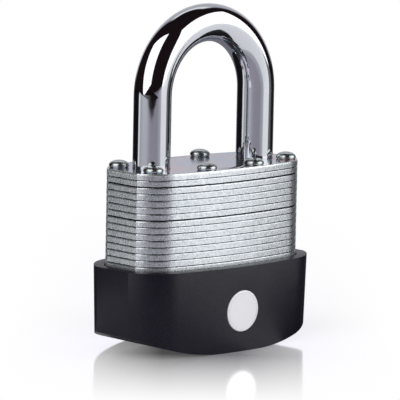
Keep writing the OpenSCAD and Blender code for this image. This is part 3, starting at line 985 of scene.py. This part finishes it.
@dataclass
class Shackle:
    """A round rod bent to an arch, with a grooved heel leg and a notched toe leg.

    Attributes:
        rod_d: Diameter of the rod.
        leg_spacing: Distance between the legs' axes.
        arch_z: Height of the arch's centre.
        toe_end_z, heel_end_z: Heights of the short leg's end and of the long leg's.
        chamfer: Chamfer at each leg's end.
        heel_turned: Height and radius of each turned step of the long leg, from the top down.
        notch: Lower and upper height of the short leg's notch, and its distance inside the leg's axis.
        edge: Rounding of the turned steps' edges.
        rings: Heights of the plain rings down a leg, of which the long leg has the first two.
        ring_segments, arch_steps: Sides of the rod, and steps round the arch.
    """

    rod_d: float = 8.0
    leg_spacing: float = 29.8
    arch_z: float = 53.8
    toe_end_z: float = 27.75
    heel_end_z: float = 14.85
    chamfer: float = 0.8
    heel_turned: tuple[Pair, ...] = (
        (33.35, 4.0), (33.35, 2.2), (30.15, 2.2), (30.15, 3.35),
        (21.35, 3.35), (21.35, 2.2), (18.45, 2.2), (18.45, 4.0),
    )
    notch: tuple[float, float, float] = (30.15, 33.35, 2.3)
    edge: float = 0.12
    rings: tuple[float, float, float] = (46.0, 40.0, 34.0)
    ring_segments: int = 72
    arch_steps: int = 112

    def step(self, bm: BMesh, ring: list[BMEdge], x: float, z: float, radius: float) -> list[BMEdge]:
        """Extrudes the rod's end ring to a height and a radius.

        Args:
            bm: The rod.
            ring: Its end ring.
            x: The leg's axis.
            z, radius: The new ring's height and radius.

        Returns:
            The new end ring.
        """
        made = bmesh.ops.extrude_edge_only(bm, edges=ring)["geom"]
        verts = verts_of(made)
        for vert in verts:
            away = Vector((vert.co.x - x, vert.co.y, 0.0)).normalized() * radius
            vert.co = Vector((x + away.x, away.y, z))
        return [g for g in made if isinstance(g, BMEdge) and all(v in verts for v in g.verts)]

    def build(self) -> None:
        """Makes the rod from its toe end over the arch to its heel end, then cuts the notch."""
        r, leg_x = self.rod_d / 2, self.leg_spacing / 2
        bm = bmesh.new()
        bmesh.ops.create_circle(
            bm, cap_ends=False, segments=self.ring_segments, radius=r,
            matrix=Matrix.Translation((leg_x, 0.0, self.arch_z)),
        )
        toe = bm.edges[:]
        last = bmesh.ops.spin(
            bm, geom=bm.verts[:] + toe, cent=(0.0, 0.0, self.arch_z), axis=(0, -1, 0), angle=math.pi,
            steps=self.arch_steps,
        )["geom_last"]
        heel = [g for g in last if isinstance(g, BMEdge)]
        for z in (*self.rings, self.toe_end_z + self.chamfer):
            toe = self.step(bm, toe, leg_x, z, r)
        toe = self.step(bm, toe, leg_x, self.toe_end_z, r - self.chamfer)
        plain = [(z, r) for z in self.rings[:2]]
        end = [(self.heel_end_z + self.chamfer, r), (self.heel_end_z, r - self.chamfer)]
        for z, radius in (*plain, *self.heel_turned, *end):
            heel = self.step(bm, heel, -leg_x, z, radius)
        for ring in (toe, heel):
            bmesh.ops.edgeloop_fill(bm, edges=ring)
        bmesh.ops.remove_doubles(bm, verts=bm.verts, dist=WELD)
        bmesh.ops.recalc_face_normals(bm, faces=bm.faces)
        round_edges(bm, sharp_edges(bm, angle=30.0), self.edge)
        low, high, inside = self.notch
        tool = bmesh.new()
        bmesh.ops.create_cube(tool, size=1.0)
        bmesh.ops.scale(tool, vec=(self.rod_d, 2 * self.rod_d, high - low), verts=tool.verts)
        middle = (leg_x - inside - self.rod_d / 2, 0.0, (low + high) / 2)
        bmesh.ops.translate(tool, vec=middle, verts=tool.verts)
        bm = combined(bm, tool, "DIFFERENCE")
        Piece("shackle_rod", "shackle", Body.SHACKLE, CHROME, "shackle_chrome", smooth=30.0).finished(bm)


# ---- The bumper and its badge ----


@dataclass
class Bumper:
    """The moulded bumper: drafted sides, a rockered underside and a flat rim round the plates.

    Attributes:
        plan: The body's plan, which the bumper follows.
        height: Height of the rim.
        wall: Wall at the rim.
        gap: Gap between the bumper and the plates.
        floor_t: Thickness of the floor in the middle.
        draft: Draft of the sides in degrees.
        flat_w: Width of the flat in the middle of the underside.
        rocker_r: Radius of the underside on each side of it.
        port_d: Diameter of the key's opening.
        rocker_steps: Steps in each half of the underside.
        edge: Rounding of the outer edges.
        mouth: Rounding of the inner edge of the rim.
        rivets: The rivets, which have pockets in the floor.
        badge_d, badge_t: Diameter and thickness of the badge.
        badge_proud: How far the badge stands out of the front.
        badge_x, badge_z: Place of the badge's middle.
        badge_rim: Inset and depth of each corner of the badge's coined rim, from the outside in.
    """

    plan: BodyPlan = field(default_factory=BodyPlan)
    rivets: RivetSet = field(default_factory=RivetSet)
    height: float = 18.2
    wall: float = 2.22
    gap: float = 0.2
    floor_t: float = 5.15
    draft: float = 1.5
    flat_w: float = 10.0
    rocker_r: float = 49.0
    rocker_steps: int = 16
    port_d: float = 12.4
    edge: float = 0.3
    mouth: float = 0.15
    badge_d: float = 8.8
    badge_t: float = 0.6
    badge_proud: float = 0.1
    badge_x: float = 0.0
    badge_z: float = 8.7
    badge_rim: tuple[Pair, ...] = (
        (0.0, 0.08), (0.03, 0.02), (0.1, 0.0), (0.42, 0.0), (0.46, 0.035), (0.54, 0.035), (0.58, 0.0)
    )

    @property
    def out(self) -> float:
        """How far the rim's outline is grown from the plates'."""
        return self.gap + self.wall

    @property
    def slope(self) -> float:
        """How far the sides come in for each millimetre down."""
        return math.tan(math.radians(self.draft))

    def at_badge(self) -> Matrix:
        """Gives the place of the badge's centre on the front face, with +Z out of the face.

        Returns:
            The matrix.
        """
        front_y = -math.sqrt((self.plan.front_r + self.out) ** 2 - self.badge_x**2) + self.plan.front_cy
        spot = Vector((self.badge_x, front_y + self.slope * (self.height - self.badge_z), self.badge_z))
        return Matrix.Translation(spot) @ Matrix.Rotation(math.radians(90 + self.draft), 4, "X")

    def rocker(self) -> BMesh:
        """Makes the block that gives the underside its curve, from the spun edge of its front elevation.

        Returns:
            The block.
        """
        reach = self.plan.plate_w / 2 + self.out + SPARE
        flat = self.flat_w / 2
        sweep = math.asin((reach - flat) / self.rocker_r)
        bm = bmesh.new()
        middle = bm.verts.new((0.0, -self.plan.plate_d, 0.0))
        edge = bm.verts.new((flat, -self.plan.plate_d, 0.0))
        bm.edges.new((middle, edge))
        last = bmesh.ops.spin(
            bm, geom=[edge], cent=(flat, -self.plan.plate_d, self.rocker_r), axis=(0, -1, 0), angle=sweep,
            steps=self.rocker_steps,
        )["geom_last"]
        tip = verts_of(last)[0]
        corner = bm.verts.new((tip.co.x, tip.co.y, self.height + SPARE))
        top = bm.verts.new((0.0, tip.co.y, self.height + SPARE))
        bm.edges.new((tip, corner))
        bm.edges.new((corner, top))
        mirror_over(bm, Axis.LEFT_RIGHT)
        face = bmesh.ops.edgeloop_fill(bm, edges=bm.edges[:])["faces"]
        pulled = bmesh.ops.extrude_face_region(bm, geom=face)["geom"]
        bmesh.ops.translate(bm, vec=(0.0, 2 * self.plan.plate_d, 0.0), verts=verts_of(pulled))
        bmesh.ops.recalc_face_normals(bm, faces=bm.faces)
        return bm

    def build(self) -> None:
        """Makes the outer form, rounds its edges, and then cuts the well, port, pockets and badge seat."""
        under = SPARE / 2
        bm = self.plan.solid(-under, self.height, self.out - self.slope * (self.height + under), self.out)
        bm = combined(bm, self.rocker(), "INTERSECT")
        bmesh.ops.remove_doubles(bm, verts=bm.verts, dist=CUT_WELD)
        merge_flat(bm, angle=0.4)
        round_edges(bm, sharp_edges(bm, angle=18.0), self.edge, segments=3)
        well = self.plan.solid(self.floor_t, self.height + SPARE, self.gap, self.gap)
        bm = combined(bm, well, "DIFFERENCE")
        mouth = self.plan.solid(
            self.height - self.mouth, self.height + under, self.gap, self.gap + self.mouth + under
        )
        bm = combined(bm, mouth, "DIFFERENCE")
        bm = combined(bm, cylinder_tool(self.port_d / 2, -SPARE, self.floor_t + SPARE), "DIFFERENCE")
        pocket_r = self.rivets.head_d / 2 + 2 * self.gap
        pocket_z = self.floor_t - self.rivets.head_h - self.gap
        for x, y in self.rivets.places():
            bm = combined(bm, cylinder_tool(pocket_r, pocket_z, self.floor_t + SPARE, x, y), "DIFFERENCE")
        seat_z = self.badge_proud - self.badge_t - self.gap / 2
        seat = cylinder_tool(self.badge_d / 2 + self.gap / 2, seat_z, SPARE)
        bmesh.ops.transform(seat, matrix=self.at_badge(), verts=seat.verts)
        bm = combined(bm, seat, "DIFFERENCE")
        Piece("bumper_moulding", "bumper", Body.CASE, PLASTIC, "bumper_plastic", smooth=20.0).finished(bm)

    def build_badge(self) -> None:
        """Makes the plain round badge with a softly coined rim."""
        r, top = self.badge_d / 2, self.badge_proud
        bottom = top - self.badge_t
        rim = [(r - inset, top - depth) for inset, depth in self.badge_rim]
        bm = spun([(0.0, bottom), (r, bottom), *rim, (0.0, top)], steps=96)
        bmesh.ops.transform(bm, matrix=self.at_badge(), verts=bm.verts)
        Piece("badge_disc", "badge", Body.CASE, BADGE, "badge_metal", smooth=40.0).finished(bm)


# ---- The lock cylinder and the mechanism ----


@dataclass
class Mechanism:
    """The lock cylinder, cam, latches and springs inside the body.

    Attributes:
        finishes: Finish of each CAD node that is shown as it is.
    """

    finishes: dict[str, Finish] = field(
        default_factory=lambda: {
            "cylinder_housing": BRASS,
            "chamber_cover": BRASS,
            "key_pins": BRASS,
            "driver_pins": PIN_NICKEL,
            "pin_springs": SPRING_WIRE,
            "latch_springs": SPRING_WIRE,
            "shackle_spring": SPRING_WIRE,
            "plug_clip": BLUED_STEEL,
            "drive_pins": BLUED_STEEL,
            "cam_disc": CAST_BRASS,
            "toe_latch": LATCH_STEEL,
            "heel_latch": LATCH_STEEL,
        }
    )

    def dress(self) -> None:
        """Gives every CAD node that stays its finish."""
        for node, finish in self.finishes.items():
            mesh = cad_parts[node].data
            mesh.materials.clear()
            mesh.materials.append(finish.material())
            log.info("%s: dressed in %s", node, finish.name)

    def build_plug(self) -> None:
        """Makes the plug with its flat faces whole, since its face shows in the key port."""
        bm = merged_copy("plug")
        merge_flat(bm, angle=0.5)
        Piece("plug_turned", "plug", Body.PLUG, BRASS, "plug_brass", smooth=30.0).finished(bm)


# ---- Studio ----


def toward(heading: float, elevation: float = 0.0) -> Vector:
    """Gives the direction from the object toward something in the studio.

    Args:
        heading: Angle in degrees from the front, positive to the right.
        elevation: Angle in degrees above the horizon.

    Returns:
        The unit vector.
    """
    a, e = math.radians(heading), math.radians(elevation)
    return Vector((math.sin(a) * math.cos(e), -math.cos(a) * math.cos(e), math.sin(e)))


@dataclass
class Camera:
    """The camera: a long lens, a little above the table and to the left of the front.

    Attributes:
        azimuth, elevation: Direction that it stands in, in degrees, as toward takes them.
        roll: Turn about its own axis in degrees.
        distance: Distance to the target.
        target: The point that it looks at.
        lens: Focal length.
        sensor: Width of the sensor.
        clip: Nearest and farthest distance that it sees, in metres.
    """

    azimuth: float = -43.06
    elevation: float = 8.33
    roll: float = 1.15
    distance: float = 809.2
    target: tuple[float, float, float] = (-0.763, 0.0, 30.816)
    lens: float = 342.75
    sensor: float = 36.0
    clip: Pair = (0.05, 50.0)

    def build(self) -> None:
        """Makes the camera and sets it as the scene's."""
        r = math.radians(self.roll)
        back = toward(self.azimuth, self.elevation)
        right = (-back).cross(Vector((0, 0, 1))).normalized()
        up = right.cross(-back)
        across = right * math.cos(r) + up * math.sin(r)
        above = -right * math.sin(r) + up * math.cos(r)
        turn = Matrix((across, above, back)).transposed().to_4x4()
        data = bpy.data.cameras.new("camera")
        data.lens = self.lens
        data.sensor_width = self.sensor
        data.clip_start, data.clip_end = self.clip
        camera = linked("camera", data)
        camera.matrix_world = Matrix.Translation((Vector(self.target) + back * self.distance) * MM) @ turn
        bpy.context.scene.camera = camera


@dataclass
class Softbox:
    """A large soft lamp that points at the padlock.

    Attributes:
        name: The lamp's name.
        heading, elevation: Direction that it stands in, in degrees, as toward takes them.
        size: Width and height in metres.
        roll: Turn about its own axis in degrees.
        radiance: Brightness of its face, where 1 is the white of the background.
        distance: Distance in metres.
        aim_z: Height in metres of the point that it faces.
    """

    name: str
    heading: float
    elevation: float
    size: Pair
    roll: float
    radiance: float
    distance: float = 1.3
    aim_z: float = 0.035

    def build(self) -> None:
        """Makes the lamp."""
        away = toward(self.heading, self.elevation)
        data = bpy.data.lights.new(self.name, "AREA")
        data.shape = "RECTANGLE"
        data.size, data.size_y = self.size
        data.energy = self.radiance * math.pi * self.size[0] * self.size[1]
        lamp = linked(self.name, data)
        roll = Matrix.Rotation(math.radians(self.roll), 4, "Z")
        turn = away.to_track_quat("Z", "Y").to_matrix().to_4x4() @ roll
        lamp.matrix_world = Matrix.Translation(away * self.distance + Vector((0, 0, self.aim_z))) @ turn
        lamp.visible_camera = False


@dataclass
class Studio:
    """Two softboxes, a pale floor and a white background.

    What metal reflects is laid out on its own: pale and dark cards round the object in place of the floor,
    a pale backdrop and a dark room. The eye sees none of that, but a white background and a pale floor that
    mirrors what stands on it. Both are laid out for the camera's heading. Distances are in metres. Behind
    and aside are measured from the middle, away from the camera and to its left.

    Attributes:
        lamps: The lamps.
        ambient: Brightness of the soft light from all round.
        backdrop_heading: Direction of the backdrop, in degrees from the front.
        backdrop_edge: Share of that direction in a ray at which the backdrop begins, and is whole.
        backdrop: Its colours, from the floor's level up to overhead.
        dark: Colour of the dark room.
        floor_radius, floor_colour: Radius and colour of the floor.
        floor_gloss: Its roughness and specular level.
        cards: Colours of the ring of cards, by the share of a turn from the front to the right.
        card_white: Colour of the two near cards.
        near_bearings, near_reach: Their middles and half widths, in turns and outwards.
        table_front: Distance in front beyond which metal sees dark in place of the floor.
        card_side: Distance to the right beyond which it sees the cards all the same.
        card_glow, glow_power: Light of the cards' own, and the power that keeps it to the white ones.
        mirror_share, mirror_gain, mirror_rough: Share, brightness and roughness of the mirror in the floor.
        mirror_angle, mirror_end: Facing, and distance behind, at which it begins and is whole.
        sheet_glow: Light that the rest of the floor gives.
        front_fade, side_fade, back_fade: Distances at which the floor is white, and is whole.
        front_ease: Power that bends the change in front.
    """

    lamps: tuple[Softbox, ...] = (
        Softbox("left_softbox", heading=-91.0, elevation=34.0, size=(1.24, 1.7), roll=22.0, radiance=1.6),
        Softbox("right_softbox", heading=39.5, elevation=18.0, size=(1.4, 1.55), roll=-6.0, radiance=1.75),
    )
    ambient: float = 0.38
    backdrop_heading: float = 137.0
    backdrop_edge: Pair = (0.80, 0.90)
    backdrop: Stops = (
        (0.0, "#dddce4"), (0.3, "#c8c7ce"), (0.7, "#bdbcc4"),
        (0.76, "#ffffff"), (0.82, "#ffffff"), (0.86, "#181216"),
    )
    dark: str = "#1d1416"
    floor_radius: float = 3.0
    floor_colour: str = "#e3e2e9"
    floor_gloss: Pair = (0.5, 0.1)
    cards: Stops = (
        (0.0, "#b1acb8"), (0.089, "#b1acb8"), (0.097, "#c0bfc7"), (0.133, "#cccbd2"),
        (0.150, "#f6f6f9"), (0.253, "#f6f6f9"), (0.261, "#17141a"), (0.417, "#17141a"),
        (0.425, "#8c8a94"), (0.575, "#8c8a94"), (0.583, "#17141a"), (0.750, "#17141a"),
        (0.756, "#ffffff"), (0.783, "#ffffff"), (0.791, "#c2c1c9"), (0.917, "#bfbdc5"),
        (0.930, "#b1acb8"), (1.0, "#b1acb8"),
    )
    card_white: str = "#f6f6f9"
    near_bearings: tuple[Pair, Pair] = ((0.282, 0.032), (0.889, 0.036))
    near_reach: Pair = (0.2, 0.08)
    card_side: float = 0.3
    table_front: float = 0.44
    card_glow: float = 0.18
    glow_power: float = 6.0
    mirror_share: float = 0.82
    mirror_gain: tuple[float, float, float] = (1.5, 1.47, 1.56)
    mirror_rough: float = 0.1
    mirror_angle: Pair = (0.66, 0.79)
    mirror_end: Pair = (0.03, 0.0)
    sheet_glow: float = 0.35
    front_fade: Pair = (-0.068, -0.014)
    front_ease: float = 1.3
    side_fade: Pair = (0.042, 0.008)
    back_fade: Pair = (0.2, 0.06)

    def build(self) -> None:
        """Makes the lamps, the floor and the world."""
        for lamp in self.lamps:
            lamp.build()
        self.build_floor()
        self.build_world()
        bpy.context.scene.view_settings.view_transform = "Standard"

    def build_floor(self) -> None:
        """Makes the floor, which the eye sees one way and all other rays another."""
        bm = bmesh.new()
        bmesh.ops.create_circle(bm, cap_ends=True, segments=96, radius=self.floor_radius)
        floor = linked("floor", as_mesh(bm, "floor"))
        made = bpy.data.materials.new("pale_gloss_laminate")
        nodes = empty_nodes(made)
        rays = nodes.add("LightPath")
        place = nodes.add("TexCoord").outputs["Object"]
        east, north, _ = toward(self.backdrop_heading)
        aside = nodes.dot(place, (-north, east, 0.0))
        behind = nodes.dot(place, (east, north, 0.0))
        cards = self.cards_floor(nodes, rays.outputs["Is Glossy Ray"], place, aside, behind)
        whole = nodes.mix_shaders(rays.outputs["Is Camera Ray"], cards, self.seen_floor(nodes, aside, behind))
        nodes.add("OutputMaterial", {"Surface": whole})
        floor.data.materials.append(made)

    def cards_floor(
        self, nodes: Nodes, glossy: NodeSocket, place: NodeSocket, aside: NodeSocket, behind: NodeSocket
    ) -> NodeSocket:
        """Makes the floor that lights the object, with the cards that metal sees on it.

        Args:
            nodes: The floor's nodes.
            glossy: 1 for a ray from a glossy surface.
            place: Object coordinates.
            aside, behind: Distances aside and behind.

        Returns:
            The shader.
        """
        # The cards lie in a ring: from the front, by the right and behind, to the left
        turned = nodes.remap(nodes.math("ARCTAN2", aside, behind), (-math.pi, math.pi))
        ring = nodes.ramp(turned, self.cards)
        # Two short white cards lie close by, where the body sees them and the shackle doesn't
        reach = nodes.add("VectorMath", {0: place}, operation="LENGTH").outputs["Value"]
        at_reach = nodes.math("COMPARE", reach, *self.near_reach)
        right, left = (nodes.math("COMPARE", turned, *bearing) for bearing in self.near_bearings)
        near = nodes.math("MULTIPLY", at_reach, nodes.math("MAXIMUM", right, left))
        ring = nodes.mix(near, ring, linear(self.card_white))
        past_front = nodes.math("LESS_THAN", behind, -self.table_front)
        beside_white = nodes.math("GREATER_THAN", aside, -self.card_side)
        ring = nodes.mix(nodes.math("MULTIPLY", past_front, beside_white), ring, linear(self.dark))
        colour = nodes.mix(glossy, linear(self.floor_colour), ring)
        # The white cards glow a little under the softboxes
        glow = nodes.math("MULTIPLY", nodes.math("POWER", colour, self.glow_power), self.card_glow)
        roughness, specular = self.floor_gloss
        look = {"Base Color": colour, "Roughness": roughness, "Specular IOR Level": specular}
        light = {"Emission Color": WHITE, "Emission Strength": glow}
        return nodes.add("BsdfPrincipled", {**look, **light}).outputs["BSDF"]

    def seen_floor(self, nodes: Nodes, aside: NodeSocket, behind: NodeSocket) -> NodeSocket:
        """Makes the floor that the eye sees: a pale gloss sheet that goes over into white.

        Args:
            nodes: The floor's nodes.
            aside, behind: Distances aside and behind.

        Returns:
            The shader.
        """
        matt = nodes.add("BsdfDiffuse", {"Color": linear(self.floor_colour)}).outputs["BSDF"]
        glow = nodes.add("Emission", {"Strength": self.sheet_glow}).outputs["Emission"]
        sheet = nodes.add("AddShader", {0: matt, 1: glow}).outputs["Shader"]
        gain = {"Color": self.mirror_gain + (1.0,), "Roughness": self.mirror_rough}
        mirror = nodes.add("BsdfAnisotropic", gain).outputs["BSDF"]
        # As any gloss sheet, it mirrors at a low angle only, and only on the side that the eye looks from
        facing = nodes.add("LayerWeight", {"Blend": 0.5}).outputs["Facing"]
        grazing = nodes.remap(facing, self.mirror_angle, (0.0, self.mirror_share))
        share = nodes.math("MULTIPLY", grazing, nodes.remap(behind, self.mirror_end))
        gloss = nodes.mix_shaders(share, sheet, mirror)
        white = nodes.add("Emission", {"Color": WHITE, "Strength": 1.0}).outputs["Emission"]
        front = nodes.math("POWER", nodes.remap(behind, self.front_fade), self.front_ease)
        lengthwise = nodes.math("MULTIPLY", front, nodes.remap(behind, self.back_fade))
        inside = nodes.remap(nodes.math("ABSOLUTE", aside), self.side_fade)
        return nodes.mix_shaders(nodes.math("MULTIPLY", lengthwise, inside), white, gloss)

    def build_world(self) -> None:
        """Makes the surroundings: white to the eye, a backdrop and a dark room to metal, even soft light."""
        world = bpy.data.worlds.new("studio")
        bpy.context.scene.world = world
        nodes = empty_nodes(world)
        rays = nodes.add("LightPath").outputs
        way = nodes.add("TexCoord").outputs["Generated"]
        level = nodes.height(way)
        # How far the ray heads for the backdrop, whatever its height
        flat_length = nodes.math("SQRT", nodes.math("SUBTRACT", 1.0, nodes.math("POWER", level, 2.0)))
        heading = nodes.math("DIVIDE", nodes.dot(way, toward(self.backdrop_heading)), flat_length)
        backdrop = nodes.ramp(level, self.backdrop)
        gloss = nodes.mix(nodes.remap(heading, self.backdrop_edge), linear(self.dark), backdrop)
        soft = nodes.mix(rays["Is Glossy Ray"], (self.ambient,) * 3 + (1.0,), gloss)
        through = nodes.math("MAXIMUM", rays["Is Camera Ray"], rays["Is Transmission Ray"])
        shade = nodes.add("Background", {"Color": nodes.mix(through, soft, WHITE), "Strength": 1.0})
        nodes.add("OutputWorld", {"Surface": shade.outputs["Background"]})


def main() -> None:
    """Builds the camera, the studio and every part of the padlock."""
    logging.basicConfig(level=logging.INFO, format="%(name)s: %(message)s")
    Camera().build()
    Studio().build()
    plan = BodyPlan()
    rivets = RivetSet()
    PlateStack(plan).build()
    rivets.build()
    Shackle().build()
    bumper = Bumper(plan, rivets)
    bumper.build()
    bumper.build_badge()
    mechanism = Mechanism()
    mechanism.build_plug()
    mechanism.dress()


if __name__ == "__main__":
    main()
